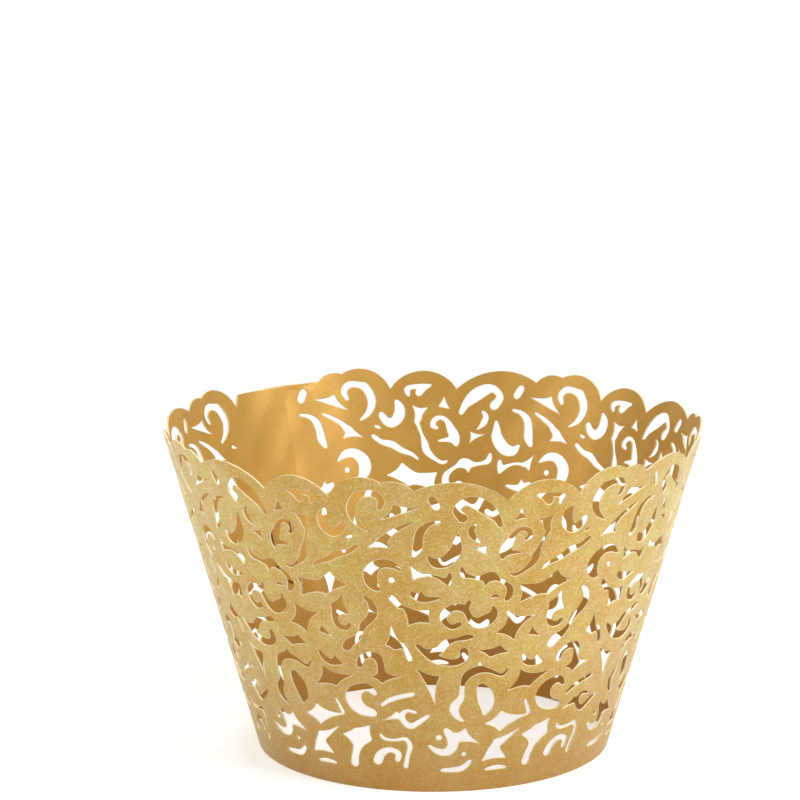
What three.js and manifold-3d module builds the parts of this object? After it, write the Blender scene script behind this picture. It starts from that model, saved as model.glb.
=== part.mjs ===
// A die-cut cupcake wrapper: one sheet of gold pearl card, cut right through with a
// filigree of scrolls, curled into a truncated cone that is open at both ends, and
// closed at the back by a tab that passes through a slit.
// Millimetres, +Z up, the front towards -Y, the cone's axis on Z and the foot at Z = 0.
import * as THREE from 'three';
import { mergeVertices } from 'three/addons/utils/BufferGeometryUtils.js';
import Module from 'manifold-3d';

const wasm = await Module();
wasm.setup();

// Driving dimensions, in millimetres
const BASE_DIAMETER = 52.9;    // outside, at the foot
const MOUTH_DIAMETER = 80.2;   // outside, at the tallest scallop tips
const HEIGHT = 49.2;           // foot to the tallest scallop tips
const SHEET = 0.3;             // thickness of the card
const PLAIN_BAND_HEIGHT = 3.1; // uncut margin along the foot
const STRIP_DROP = 1.7;        // the plain end strips stop this far below the tips
const UNDER_STRIP = 7.8;       // width of the plain strip at the end that lies inside
const OVER_STRIP = 3.7;        // width of the plain strip at the end that lies outside
const LAP_WIDTH = 2.6;         // how far the outer end reaches past the inner end's edge
const LAP_RISE_LENGTH = 4.6;   // stretch over which the outer end climbs onto the inner one
const LAYER_GAP = 0.3;         // clear gap between layers of card
const TAB_HEIGHT = 14;
const TAB_LENGTH = 4.6;        // from the outer end's edge to the tab's nose
const TAB_NARROWING = 1.6;     // the nose is this much lower at each corner
const TAB_DIP_LENGTH = 1.2;    // stretch in which the tab sinks through the slit
const SLIT_PLAY = 0.4;         // gap above and below the tab in its slit

// Driving counts, shares and angles
const REPEATS = 6.5;           // copies of the ornament round the sleeve
const FIRST_REPEAT = -0.75;    // where the first copy starts, in copies from the cut zone's edge
const SEAM_ANGLE = -142.75;    // the inner end's edge, in degrees round from the front

// A full turn round the cone, in degrees
const FULL_TURN = 360;

// How finely the curves are cut
const POINTS_PER_COPY = 370;     // points on the openings of one copy of the ornament
const FOOT_STEP = 4;             // degrees round the cone between points on a plain edge
const SCALLOP_STEP = 2;          // millimetres between points on a scallop
const CURVE_STEPS = 4;           // steps between two points that guide a scroll
const ARC_STEPS = 6;             // steps on each round end of a scroll

// The cone, and the flat blank that curls into it
const slant = Math.hypot(HEIGHT, (MOUTH_DIAMETER - BASE_DIAMETER) / 2);
const lean = Math.asin((MOUTH_DIAMETER - BASE_DIAMETER) / 2 / slant);
const apex = BASE_DIAMETER / 2 / Math.sin(lean);
const skin = SHEET / Math.cos(lean);
const lapLift = skin + LAYER_GAP;
const degreesPerMm = THREE.MathUtils.radToDeg(4 / (BASE_DIAMETER + MOUTH_DIAMETER));
const stripTop = slant - STRIP_DROP;

// Places round the cone, in degrees from the inner end's edge
const outerEnd = FULL_TURN + LAP_WIDTH * degreesPerMm;
const zoneStart = UNDER_STRIP * degreesPerMm;
const zoneEnd = outerEnd - OVER_STRIP * degreesPerMm;
const repeatTurn = (zoneEnd - zoneStart) / REPEATS;
const dipTurn = TAB_DIP_LENGTH * degreesPerMm;

// The ornament is drawn in millimetres on the flat blank: x across from the middle of
// one copy, y up from the foot. The blank's arcs are centred this far below the foot.
const DRAWN_APEX = 98.85;
const DRAWN_REPEAT = THREE.MathUtils.degToRad(14.18);
const DRAWN_BAND = 3.1;

// A point of the flat blank, from its turn round the cone and its distance up the slant
function onBlank(turn, up) {
  const angle = THREE.MathUtils.degToRad(turn) * Math.sin(lean);
  return new THREE.Vector2((apex + up) * Math.sin(angle), (apex + up) * Math.cos(angle));
}

// How far the sheet stands off the cone: it climbs onto the lap, and the tab sinks inside
function standOff(turn) {
  const rise = THREE.MathUtils.smoothstep(
    turn, FULL_TURN - LAP_RISE_LENGTH * degreesPerMm, FULL_TURN);
  const dip = THREE.MathUtils.clamp((turn - outerEnd) / dipTurn, 0, 1);
  return lapLift * (rise - 2 * dip);
}

// Curls a point of the blank onto the cone, "depth" inside its outer face
function curl(point, depth) {
  const reach = point.length();
  const turn = THREE.MathUtils.radToDeg(Math.atan2(point.x, point.y)) / Math.sin(lean);
  const fullTurn = turn < -1 ? turn + FULL_TURN / Math.sin(lean) : turn;
  const radius = reach * Math.sin(lean) + standOff(fullTurn) - depth;
  const angle = THREE.MathUtils.degToRad(SEAM_ANGLE + fullTurn);
  return [radius * Math.sin(angle), -radius * Math.cos(angle), (reach - apex) * Math.cos(lean)];
}

// Takes a drawn point to its place on the blank, stretched with the blank
function placeDrawn(point, copy) {
  const reach = Math.hypot(point.x, DRAWN_APEX + point.y);
  const across = Math.atan2(point.x, DRAWN_APEX + point.y) / DRAWN_REPEAT;
  const share = (reach - DRAWN_APEX - DRAWN_BAND) / (drawnTop - DRAWN_BAND);
  const turn = zoneStart + (FIRST_REPEAT + copy + 0.5 + across) * repeatTurn;
  return { turn, up: PLAIN_BAND_HEIGHT + share * (slant - PLAIN_BAND_HEIGHT) };
}

// Figures of the ornament

function circlePoints(x, y, radius, from, to, steps) {
  return new THREE.EllipseCurve(x, y, radius, radius, from, to).getPoints(steps);
}

function dot(x, y, radius) {
  return [circlePoints(x, y, radius, 0, 2 * Math.PI, 2 * ARC_STEPS).slice(0, -1)];
}

// Two circles and the tangents that join them, or the larger circle if it holds the other
function taperedLink(a, b) {
  const along = Math.atan2(b.y - a.y, b.x - a.x);
  const apart = Math.hypot(b.x - a.x, b.y - a.y);
  if (Math.abs(a.z - b.z) / 2 > 0.98 * apart) {
    const larger = a.z > b.z ? a : b;
    return dot(larger.x, larger.y, larger.z / 2)[0];
  }
  const lay = Math.acos((a.z - b.z) / 2 / apart);
  return [
    ...circlePoints(b.x, b.y, b.z / 2, along - lay, along + lay, ARC_STEPS),
    ...circlePoints(a.x, a.y, a.z / 2, along + lay, along + 2 * Math.PI - lay, ARC_STEPS),
  ];
}

// A scroll along a smooth curve, given as [x, y, width] at each guiding point
function scroll(...guides) {
  const middle = new THREE.CatmullRomCurve3(guides.map((g) => new THREE.Vector3(...g)));
  const points = middle.getPoints(CURVE_STEPS * (guides.length - 1));
  points.forEach((p) => { p.z = Math.max(p.z, 0.1); });
  return points.slice(1).map((point, i) => taperedLink(points[i], point));
}

// A figure with sharp corners and hollow sides, given as [x, y, hollow] at each corner,
// where hollow is how far the side after that corner is drawn in, as a share of the way
// to the figure's middle
function spur(...corners) {
  const points = corners.map(([x, y]) => new THREE.Vector2(x, y));
  const total = points.reduce((sum, point) => sum.add(point), new THREE.Vector2());
  const middle = total.divideScalar(points.length);
  const outline = points.flatMap((point, i) => {
    const following = points[(i + 1) % points.length];
    const control = point.clone().lerp(following, 0.5).lerp(middle, corners[i][2]);
    const side = new THREE.QuadraticBezierCurve(point, control, following);
    return side.getPoints(CURVE_STEPS).slice(0, -1);
  });
  return [outline];
}

// One copy of the ornament: each entry is one opening, made of figures that join
const OPENINGS = [
  // Scrolls and leaves under the scallops
  [scroll([-11.5, 47.6, 1.2], [-10.8, 46.5, 1.2])],
  [scroll([-7, 44.9, 1.5], [-8, 46.2, 1.1], [-6.8, 47.6, 1.1], [-5.2, 47.3, 1.9], [-3.6, 46.3, 2],
    [-2.3, 45, 1.2], [-1.6, 43.7, 0.8])],
  [scroll([-10.1, 44.2, 0.4], [-11.6, 43.7, 0.7], [-12.6, 42.6, 1.2], [-12.9, 41.2, 1.3],
    [-12.9, 39.8, 1.4], [-13.3, 38.5, 0.7])],
  [scroll([-7.4, 42.4, 0.4], [-7.5, 41, 1.2], [-7.6, 39.6, 1.8], [-8.8, 38, 1.9], [-10.3, 37.6, 1.4],
    [-11.3, 38.5, 0.5])],
  [scroll([-5, 44, 0.3], [-5.7, 43.2, 0.8], [-5.4, 42.2, 1], [-4.8, 41.5, 0.5], [-4.2, 41, 0.2])],
  [spur([-5.8, 40.3, 0.8], [-3, 40.8, 0.8], [-2.9, 38.7, 0.8])],
  [spur([1.2, 46.4, 0.35], [2.2, 44.6, 0.35], [0.2, 44.2, 0.55])],
  [scroll([2.2, 41.2, 0.5], [3, 41.6, 0.8], [2.6, 42.6, 0.8], [1.5, 42.9, 0.6], [0.6, 42.2, 0.8],
    [0, 41, 1.3], [-0.6, 39.8, 1.6], [-0.9, 38.6, 0.8]),
  scroll([-0.6, 39.3, 1], [0.6, 39.3, 0.7], [2.1, 39.1, 0.2])],
  [scroll([3.3, 48.1, 0.3], [4.5, 47.7, 1], [5.3, 46.9, 1.3]),
  scroll([4.6, 47.8, 1], [6.2, 47.8, 0.7], [7.3, 47.3, 0.9], [7, 46.4, 0.6])],
  [spur([3.6, 44.6, 0.65], [6.5, 44.9, 0.8], [6.1, 42, 0], [4.8, 42.3, 0.75]),
  scroll([5.6, 42.3, 0.7], [5.1, 41, 0.5], [4.6, 39.8, 0.5], [4.2, 38.6, 1.1], [3.8, 37.4, 1.1],
    [2.6, 36.3, 0.6], [1.3, 35.6, 0.5], [0.5, 35.9, 0.4])],
  [scroll([9, 45.4, 0.6], [8.4, 44.2, 1.6], [8.6, 42.8, 1.8], [9.6, 41.8, 1.4], [10.7, 42.2, 1.3],
    [11.4, 43.1, 1])],
  [scroll([11.6, 41, 0.5], [12.3, 41.2, 0.5])],
  [scroll([14.3, 47.6, 1.3], [13.3, 46.2, 1.4], [13, 44.8, 1.3], [13.6, 43.2, 0.9], [14.9, 42, 0.3]),
  scroll([14.3, 47.5, 1.2], [15.6, 47.8, 1], [17, 47.6, 1.1], [17.7, 46.5, 1], [17.1, 45.4, 0.7])],
  [spur([-18.6, 43.3, 0.65], [-16.9, 46.4, 0.7], [-12.8, 46.3, 0])],
  [spur([14.2, 39.3, 0.35], [16.6, 41.2, 0], [17.8, 38.9, 0.8]),
  scroll([16.9, 40.4, 1.2], [18.2, 41.5, 0.8], [20, 42.3, 0.6], [21.5, 42.8, 0.3])],
  [scroll([5.2, 36.1, 0.3], [6.3, 36.9, 0.6], [8, 37.5, 0.9], [9.6, 38.4, 1.1], [11.2, 38.7, 0.8],
    [12.7, 39.6, 0.7])],

  // The stars and double scroll across the middle
  [spur([-14.1, 37.3, 0.7], [-12, 35.8, 0], [-13.2, 34.3, 0.8]),
  scroll([-12.4, 35.3, 0.6], [-11, 35.6, 0.4], [-9.6, 35.3, 0.5], [-8.3, 34.8, 1], [-8.1, 36, 0.6]),
  scroll([-8.3, 34.8, 1], [-8.1, 34.2, 0.6])],
  [scroll([-6.5, 37.1, 0.5], [-6.2, 36, 0.9], [-5, 35.6, 0.5], [-3.9, 35.4, 0.7], [-2.2, 35.6, 1.6],
    [-1.3, 35.2, 0.7], [-0.2, 34.5, 0.6], [0.7, 33.5, 1], [0.7, 32.3, 1.1], [0.3, 31.7, 0.7]),
  spur([-3, 33.9, 0.5], [-3.8, 35.5, 0], [-1.8, 35.2, 0.5])],
  [scroll([-2, 32.2, 0.4], [-1.3, 32.5, 0.5], [-0.7, 32.1, 0.3])],
  [spur([2, 34.1, 0.3], [5.4, 33.9, 0.35], [7.9, 35.6, 0.25], [10.4, 33.4, 0.25], [6.7, 31.7, 0.6],
    [2.3, 31, 0.2])],
  [scroll([18.6, 35.3, 0.3], [17.3, 36.5, 1.2], [15.6, 36.7, 1.5], [14.2, 35.6, 2], [13.9, 34.2, 2],
    [14.4, 33, 1.2], [15.2, 32.5, 0.2])],
  [dot(16.9, 34, 0.5)],
  [scroll([-13.1, 32.3, 0.9], [-12, 31.7, 1.1], [-10.8, 31.7, 0.9], [-9.1, 32.1, 0.3]),
  spur([-11.9, 33.3, 0.55], [-12.6, 32, 0], [-10.8, 31.9, 0.75])],
  [spur([-14.9, 30.6, 0.7], [-10.4, 30.1, 0.25], [-10.1, 27.8, 0.5], [-13.3, 27, 0.4]),
  scroll([-16, 31.3, 0.9], [-14.7, 30, 0.8])],
  [scroll([-6.1, 27.9, 0.9], [-7.1, 27.4, 0.8], [-8.2, 28.2, 0.9], [-8.4, 29.4, 1.1],
    [-7.4, 30.5, 1.1], [-6, 30.6, 1.2], [-5.2, 29.9, 0.9], [-4.5, 28.7, 1.1], [-3.4, 28.1, 1.7],
    [-2.2, 28.6, 2], [-1.3, 29.5, 1.2], [-1.5, 30.7, 0.5]),
  scroll([-5, 31.6, 0.7], [-5.3, 30.5, 0.8])],
  [spur([0.5, 30.1, 0.65], [5.2, 28.8, 0.8], [2.1, 24.8, 0.35], [-0.9, 26.3, 0.8])],
  [spur([4.8, 26.8, 0.15], [4, 25.5, 0.75], [6.8, 24.5, 0.8])],
  [scroll([9.4, 27, 0.8], [8.8, 26.4, 0.8], [7.7, 26.7, 0.9], [7.3, 27.8, 0.9], [7.6, 28.9, 1.3],
    [8.3, 29.7, 1.3], [8.9, 31.5, 0.5]),
  spur([9.1, 31.9, 0.5], [9.9, 28.7, 0.35], [7.4, 28.2, 0], [6.9, 30.4, 0.4])],
  [scroll([12.5, 31.6, 0.6], [13.3, 30.4, 1], [13.3, 29, 1.4], [12.6, 27.9, 1.2], [11.5, 27, 1.1],
    [10.9, 25.8, 0.7], [10, 24.7, 1.1], [8.9, 24.1, 1.4], [8.2, 23.3, 1.4]),
  ],
  [spur([-15.8, 27.1, 0.65], [-13.5, 23.6, 0], [-14.9, 22.7, 0.2], [-16.4, 23.4, 0.65]),
  scroll([-13.9, 23.8, 0.8], [-13.2, 22.9, 0.7], [-12.6, 21.6, 0.8])],
  [scroll([-11.8, 24.1, 0.6], [-10.6, 23.1, 1], [-9.3, 22.2, 1.3], [-7.8, 21.7, 1.3],
    [-6.2, 21.6, 1.1], [-5, 22.4, 1.2], [-5.1, 23.5, 1.3]),
  scroll([-9.9, 23, 1.3], [-8.6, 23.5, 1.3], [-7.7, 24.8, 1.1], [-6.3, 25.4, 0.6], [-4.9, 25.8, 1],
    [-3.8, 25.9, 0.3])],
  [spur([-3.3, 23.7, 0.65], [0.2, 24.4, 0.2], [1.6, 23, 0.45], [-1.3, 22.3, 0.35])],

  // Sickles and leaves of the lower half
  [scroll([3.6, 22.2, 0.6], [4.2, 21.2, 1], [5.3, 20.6, 1], [6.9, 20.5, 0.4]),
  spur([6, 22.1, 0.4], [5.2, 20.9, 0], [7.1, 20.6, 0.65])],
  [scroll([9.7, 20.4, 1], [10.1, 21.4, 1], [11.3, 22.1, 1], [12.6, 21.8, 1.3], [12.9, 20.5, 1.1],
    [12.8, 19.3, 1.2]),
  spur([11, 18.5, 0.45], [12.9, 19.9, 0.7], [15.8, 18.3, 0.65], [12.5, 17.2, 0.4])],
  [spur([-11.8, 20.4, 0.4], [-8.1, 19.3, 0.6], [-8.4, 14.2, 0.6])],
  [scroll([1.6, 20.3, 0.4], [0.8, 19.3, 0.5], [-1, 20.1, 0.7], [-2.6, 20.4, 1.2], [-4.2, 19.6, 1.3],
    [-4.8, 18.2, 0.8], [-4.8, 16.8, 0.7], [-4.9, 15.6, 1], [-5.7, 14.2, 1.4], [-5.3, 12.8, 0.9],
    [-4.2, 11.8, 0.3]),
  spur([-2.7, 21.9, 0.5], [-3.6, 20.2, 0], [-1, 20.2, 0.75])],
  [scroll([-2, 17.4, 1.5], [-1.3, 15.8, 2.4], [-1, 14.2, 1.8], [-1.3, 12.9, 0.4])],
  [spur([3.5, 20, 0.8], [8.8, 18.9, 0.45], [5.4, 16.6, 0.55], [1.7, 16.5, 0.5])],
  [scroll([11.2, 15.7, 0.7], [10.4, 16.7, 1.2], [9, 16.6, 1.5], [7.9, 15.6, 2.3], [7.8, 14.2, 2.5],
    [8.8, 13, 1.9], [10.3, 12.5, 1.3])],
  [scroll([16.7, 15.3, 0.7], [15, 15.1, 0.7], [13.2, 14.6, 0.7], [11.9, 13.8, 0.5])],
  [spur([-1.2, 11.3, 0.45], [1.2, 13.4, 0.65], [5.9, 12.1, 0.55], [1.3, 9.7, 0.35]),
  scroll([4.8, 14.6, 0.4], [5.3, 13.3, 0.5], [5.6, 12.3, 0.6])],
  [scroll([16.6, 12.2, 0.5], [15.5, 12.7, 0.5], [14.6, 12.1, 0.8], [14.6, 11, 0.8], [15.5, 10, 0.9],
    [16.8, 10.6, 0.8], [18.3, 11.4, 0.6]),
  spur([11.3, 11.2, 0.8], [13.9, 12.8, 0], [14.6, 11.3, 0.8])],

  // The row above the plain band
  [dot(-7.5, 9, 0.5)],
  [scroll([-8.9, 7.6, 0.3], [-7.6, 6.7, 0.9], [-6.2, 6.6, 1.2], [-5.4, 7.6, 1.5], [-5.6, 9, 1.5],
    [-6.6, 10.3, 0.8]),
  spur([-3.8, 10.8, 0.6], [-1.4, 8, 0.75], [-5.4, 8, 0], [-5.5, 9.8, 0.4])],
  [dot(-3.7, 6.3, 0.4)],
  [scroll([-6.7, 3.5, 0.5], [-5.2, 3.6, 0.8], [-3.7, 3.9, 0.9], [-2.7, 5, 0.7])],
  [spur([-1, 4.9, 0.3], [2.8, 5, 0.5], [1.5, 7.1, 0.2], [4.8, 10.2, 0.35], [0.6, 8.6, 0.15],
    [-0.3, 6.8, 0.1])],
  [scroll([-0.3, 3.5, 0.4], [1.2, 3.7, 0.7], [2.8, 3.5, 0.4])],
  [spur([4.7, 8.7, 0.2], [7, 9.9, 0.15], [9.5, 10.5, 0.2], [9.4, 7.9, 0.3], [6.6, 5.4, 0.1],
    [5.9, 7.6, 0.1]),
  scroll([5.9, 3.9, 1.3], [6.2, 5.2, 1.1], [6.8, 6.6, 1.2])],
  [scroll([-16, 3.7, 1.4], [-15.6, 5, 1.2], [-14.4, 6, 0.8], [-13.1, 5.6, 0.9], [-13.1, 4.5, 0.8])],
  [scroll([10.8, 9, 0.4], [11.2, 8.2, 0.5], [12.8, 7.9, 0.4], [14.4, 8, 0.6], [14.8, 6.6, 0.7],
    [14.2, 5.2, 0.6], [13.6, 3.3, 0.7])],
];

// The notches of the scalloped edge in one copy, as [x, y, rise of the scallop after it]
const NOTCHES = [[-18.7, 49.2, 0.8], [-14.1, 48.5, 2.4], [-0.8, 47.5, 3], [10, 47.2, 2]];

// One drawn scallop: an arc from notch to notch that rises "rise" above the straight line
function scallop(from, to, rise) {
  const width = from.distanceTo(to);
  const radius = (width * width / 4 + rise * rise) / (2 * rise);
  const along = to.clone().sub(from).divideScalar(width);
  const upward = new THREE.Vector2(-along.y, along.x);
  const centre = from.clone().lerp(to, 0.5).addScaledVector(upward, rise - radius);
  const half = Math.asin(width / 2 / radius);
  const steps = Math.ceil(2 * half * radius / SCALLOP_STEP);
  return Array.from({ length: steps + 1 }, (_, i) => {
    const angle = half * (2 * i / steps - 1);
    return centre.clone()
      .addScaledVector(along, radius * Math.sin(angle))
      .addScaledVector(upward, radius * Math.cos(angle));
  });
}

// The scallops of one copy; the last one ends at the first notch of the next copy
const drawnCentre = new THREE.Vector2(0, -DRAWN_APEX);
const notchPoints = NOTCHES.map(([x, y]) => new THREE.Vector2(x, y));
notchPoints.push(notchPoints[0].clone().rotateAround(drawnCentre, -DRAWN_REPEAT));
const scallops = NOTCHES.map(([, , rise], i) => scallop(notchPoints[i], notchPoints[i + 1], rise));
const drawnTop = Math.max(...scallops.flat().map((point) => point.distanceTo(drawnCentre))) - DRAWN_APEX;

// A prism on a flat figure, for joining
function prism(figure) {
  const outline = figure.filter((point, i) => point.distanceTo(figure[(i + 1) % figure.length]) > 1e-3);
  const block = new THREE.ExtrudeGeometry(new THREE.Shape(outline), { depth: 1, bevelEnabled: false });
  block.deleteAttribute('normal');
  block.deleteAttribute('uv');
  const merged = mergeVertices(block, 1e-5);
  const vertProperties = new Float32Array(merged.attributes.position.array);
  const triVerts = new Uint32Array(merged.index.array);
  return new wasm.Manifold(new wasm.Mesh({ numProp: 3, vertProperties, triVerts }));
}

// Directed edges that only one triangle of the list has, as a map from start to end
function borderOf(triangles) {
  const edges = new Set();
  triangles.forEach((t) => t.forEach((from, i) => edges.add(`${from} ${t[(i + 1) % 3]}`)));
  const border = [...edges].map((edge) => edge.split(' ').map(Number));
  return new Map(border.filter(([from, to]) => !edges.has(`${to} ${from}`)));
}

// The outer outline of joined figures: the longest border of the top of their prisms
function joinedOutline(figures) {
  const mesh = figures.map(prism).reduce((a, b) => a.add(b)).getMesh();
  const points = [];
  for (let i = 0; i < mesh.vertProperties.length; i += mesh.numProp) {
    points.push(new THREE.Vector3(...mesh.vertProperties.slice(i, i + 3)));
  }
  const tops = [];
  for (let i = 0; i < mesh.triVerts.length; i += 3) {
    const triangle = [...mesh.triVerts.slice(i, i + 3)];
    if (triangle.every((v) => points[v].z > 0.999)) tops.push(triangle);
  }
  const next = borderOf(tops);
  const loops = [];
  while (next.size) {
    const loop = [];
    let at = next.keys().next().value;
    while (next.has(at)) {
      loop.push(new THREE.Vector2(points[at].x, points[at].y));
      const following = next.get(at);
      next.delete(at);
      at = following;
    }
    loops.push(loop);
  }
  loops.sort((a, b) => Math.abs(THREE.ShapeUtils.area(b)) - Math.abs(THREE.ShapeUtils.area(a)));
  return loops[0];
}

// How much an outline loses with its point i: the triangle there, times its height
function lossAt(outline, i) {
  const [before, point, after] = [-1, 0, 1].map((step) => outline.at((i + step) % outline.length));
  const area = Math.abs(THREE.ShapeUtils.area([before, point, after]));
  return area * area / before.distanceTo(after);
}

// Leaves out points one by one, always the one that changes its outline least
function thinOutlines(outlines) {
  const losses = outlines.map((outline) => outline.map((_, i) => lossAt(outline, i)));
  let count = outlines.flat().length;
  while (count > POINTS_PER_COPY) {
    const weakest = losses.map((list) => (list.length > 4 ? Math.min(...list) : Infinity));
    const o = weakest.indexOf(Math.min(...weakest));
    const i = losses[o].indexOf(weakest[o]);
    outlines[o].splice(i, 1);
    losses[o] = outlines[o].map((_, j) => lossAt(outlines[o], j));
    count -= 1;
  }
  return outlines;
}

const cutOutlines = thinOutlines(OPENINGS.map((figures) => joinedOutline(figures.flat())));

// The openings of every copy that lie wholly in the cut zone, on the blank
function cutOpenings() {
  const openings = [];
  for (let copy = 0; copy < REPEATS - FIRST_REPEAT; copy += 1) {
    for (const outline of cutOutlines) {
      const places = outline.map((point) => placeDrawn(point, copy));
      const inside = places.every(({ turn }) => turn > zoneStart && turn < zoneEnd);
      if (inside) openings.push(places.map(({ turn, up }) => onBlank(turn, up)));
    }
  }
  return openings;
}

// The scalloped edge over the cut zone, from the inner end to the outer one, on the blank
function scallopedEdge() {
  const edge = [];
  for (let copy = 0; copy < REPEATS - FIRST_REPEAT; copy += 1) {
    for (const arc of scallops) {
      const places = arc.map((point) => placeDrawn(point, copy));
      if (places[0].turn < zoneStart || places.at(-1).turn > zoneEnd) continue;
      edge.push(...places.slice(0, -1).map(({ turn, up }) => onBlank(turn, up)));
    }
  }
  return edge;
}

// Points at one height from one turn to another, with the last left out
function levelEdge(from, to, up) {
  const steps = Math.ceil(Math.abs(to - from) / FOOT_STEP);
  return Array.from({ length: steps }, (_, i) => onBlank(from + (to - from) * i / steps, up));
}

// The blank's panels, each with its outline and its openings, split where it bends
const tabLow = (slant - TAB_HEIGHT) / 2;
const tabHigh = tabLow + TAB_HEIGHT;

function sleevePanel() {
  const edge = scallopedEdge();
  const outline = [
    ...levelEdge(0, FULL_TURN, 0), onBlank(FULL_TURN, 0),
    ...levelEdge(FULL_TURN, zoneEnd, stripTop),
    ...edge.reverse(),
    ...levelEdge(zoneStart, 0, stripTop), onBlank(0, stripTop),
  ];
  const slitStart = outerEnd - FULL_TURN;
  const slitEnd = slitStart + dipTurn;
  const slit = [
    onBlank(slitStart, tabLow - SLIT_PLAY), onBlank(slitStart, tabHigh + SLIT_PLAY),
    onBlank(slitEnd, tabHigh + SLIT_PLAY), onBlank(slitEnd, tabLow - SLIT_PLAY),
  ];
  return { outline, openings: [slit, ...cutOpenings()] };
}

function lapPanel() {
  return {
    outline: [
      onBlank(FULL_TURN, 0), onBlank(outerEnd, 0), onBlank(outerEnd, tabLow),
      onBlank(outerEnd, tabHigh), onBlank(outerEnd, stripTop), onBlank(FULL_TURN, stripTop),
    ],
    openings: [],
  };
}

function tabRootPanel() {
  return {
    outline: [
      onBlank(outerEnd, tabLow), onBlank(outerEnd + dipTurn, tabLow),
      onBlank(outerEnd + dipTurn, tabHigh), onBlank(outerEnd, tabHigh),
    ],
    openings: [],
  };
}

function tabNosePanel() {
  const nose = outerEnd + TAB_LENGTH * degreesPerMm;
  return {
    outline: [
      onBlank(outerEnd + dipTurn, tabLow), onBlank(nose, tabLow + TAB_NARROWING),
      onBlank(nose, tabHigh - TAB_NARROWING), onBlank(outerEnd + dipTurn, tabHigh),
    ],
    openings: [],
  };
}

// Whether point d lies inside the circle through a, b and c, which run anticlockwise
function insideCircle(a, b, c, d) {
  const [ax, ay, bx, by, cx, cy] = [a, b, c].flatMap((p) => [p.x - d.x, p.y - d.y]);
  const [a2, b2, c2] = [ax * ax + ay * ay, bx * bx + by * by, cx * cx + cy * cy];
  return ax * (by * c2 - b2 * cy) - ay * (bx * c2 - b2 * cx) + a2 * (bx * cy - by * cx) > 1e-6;
}

// Swaps the diagonals of pairs of triangles until none is needlessly long, so that the
// curled sheet follows the cone
function evenOut(points, triangles) {
  const owner = new Map();
  const claim = (index) => triangles[index].forEach(
    (from, i) => owner.set(`${from} ${triangles[index][(i + 1) % 3]}`, index));
  triangles.forEach((_, index) => claim(index));
  const waiting = [...owner.keys()];
  while (waiting.length) {
    const [a, b] = waiting.pop().split(' ').map(Number);
    const here = owner.get(`${a} ${b}`);
    const there = owner.get(`${b} ${a}`);
    if (here === undefined || there === undefined) continue;
    const c = triangles[here].find((v) => v !== a && v !== b);
    const d = triangles[there].find((v) => v !== a && v !== b);
    if (!insideCircle(points[a], points[b], points[c], points[d])) continue;
    owner.delete(`${a} ${b}`);
    owner.delete(`${b} ${a}`);
    triangles[here] = [c, a, d];
    triangles[there] = [d, b, c];
    claim(here);
    claim(there);
    waiting.push(`${a} ${d}`, `${d} ${b}`, `${b} ${c}`, `${c} ${a}`);
  }
}

// The whole blank as points and triangles
function blank() {
  const points = [];
  const triangles = [];
  const known = new Map();
  const indexOf = (point) => {
    const key = `${point.x.toFixed(4)} ${point.y.toFixed(4)}`;
    if (!known.has(key)) known.set(key, points.push(point) - 1);
    return known.get(key);
  };
  for (const { outline, openings } of [sleevePanel(), lapPanel(), tabRootPanel(), tabNosePanel()]) {
    const order = [...outline, ...openings.flat()].map(indexOf);
    const faces = THREE.ShapeUtils.triangulateShape(outline, openings);
    const panel = faces.map((face) => face.map((v) => order[v]));
    evenOut(points, panel);
    triangles.push(...panel);
  }
  return { points, triangles };
}

// Curls the blank: an outer face, an inner face and a wall along every cut edge
function curledSheet() {
  const { points, triangles } = blank();
  const inner = points.length;
  const positions = [0, skin].flatMap((depth) => points.flatMap((point) => curl(point, depth)));
  const faces = triangles.flatMap(([a, b, c]) => [[a, b, c], [inner + a, inner + c, inner + b]]);
  for (const [from, to] of borderOf(triangles)) {
    faces.push([to, from, inner + from], [to, inner + from, inner + to]);
  }
  const geometry = new THREE.BufferGeometry();
  geometry.setAttribute('position', new THREE.Float32BufferAttribute(positions, 3));
  geometry.setIndex(faces.flat());
  geometry.computeVertexNormals();
  return geometry;
}

const goldCard = new THREE.MeshStandardMaterial({
  name: 'gold_card', color: 0xd6b86e, roughness: 0.45, metalness: 0.35, side: THREE.DoubleSide,
});

const sleeve = new THREE.Mesh(curledSheet(), goldCard);
sleeve.name = 'wrapper_sleeve';

const wrapper = new THREE.Group();
wrapper.add(sleeve);
export default wrapper;
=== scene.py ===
import math

import bpy
import numpy as np
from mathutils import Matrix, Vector
from mathutils.geometry import delaunay_2d_cdt
from mathutils.kdtree import KDTree


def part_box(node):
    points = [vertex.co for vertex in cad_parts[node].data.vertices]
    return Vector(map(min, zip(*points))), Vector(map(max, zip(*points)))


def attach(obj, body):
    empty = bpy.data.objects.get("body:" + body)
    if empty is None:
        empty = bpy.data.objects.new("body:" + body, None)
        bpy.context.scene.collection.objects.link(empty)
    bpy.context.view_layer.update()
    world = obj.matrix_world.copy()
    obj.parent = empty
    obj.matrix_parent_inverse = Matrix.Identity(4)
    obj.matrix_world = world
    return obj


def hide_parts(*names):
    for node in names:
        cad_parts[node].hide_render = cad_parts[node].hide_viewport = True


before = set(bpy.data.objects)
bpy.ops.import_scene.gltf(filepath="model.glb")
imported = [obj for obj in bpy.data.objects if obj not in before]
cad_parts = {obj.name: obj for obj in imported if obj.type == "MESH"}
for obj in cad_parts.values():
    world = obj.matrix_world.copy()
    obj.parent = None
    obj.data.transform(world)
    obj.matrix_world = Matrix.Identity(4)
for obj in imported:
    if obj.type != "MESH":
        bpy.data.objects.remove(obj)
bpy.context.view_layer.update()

bl_info = {
    "name": "Filigree Cupcake Wrapper",
    "version": (1, 0, 0),
    "blender": (4, 5, 0),
    "location": "3D View > Sidebar > Wrapper",
    "description": "A die-cut gold card wrapper, curled from its flat blank, with its finish and stage",
    "category": "Add Mesh",
}

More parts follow.
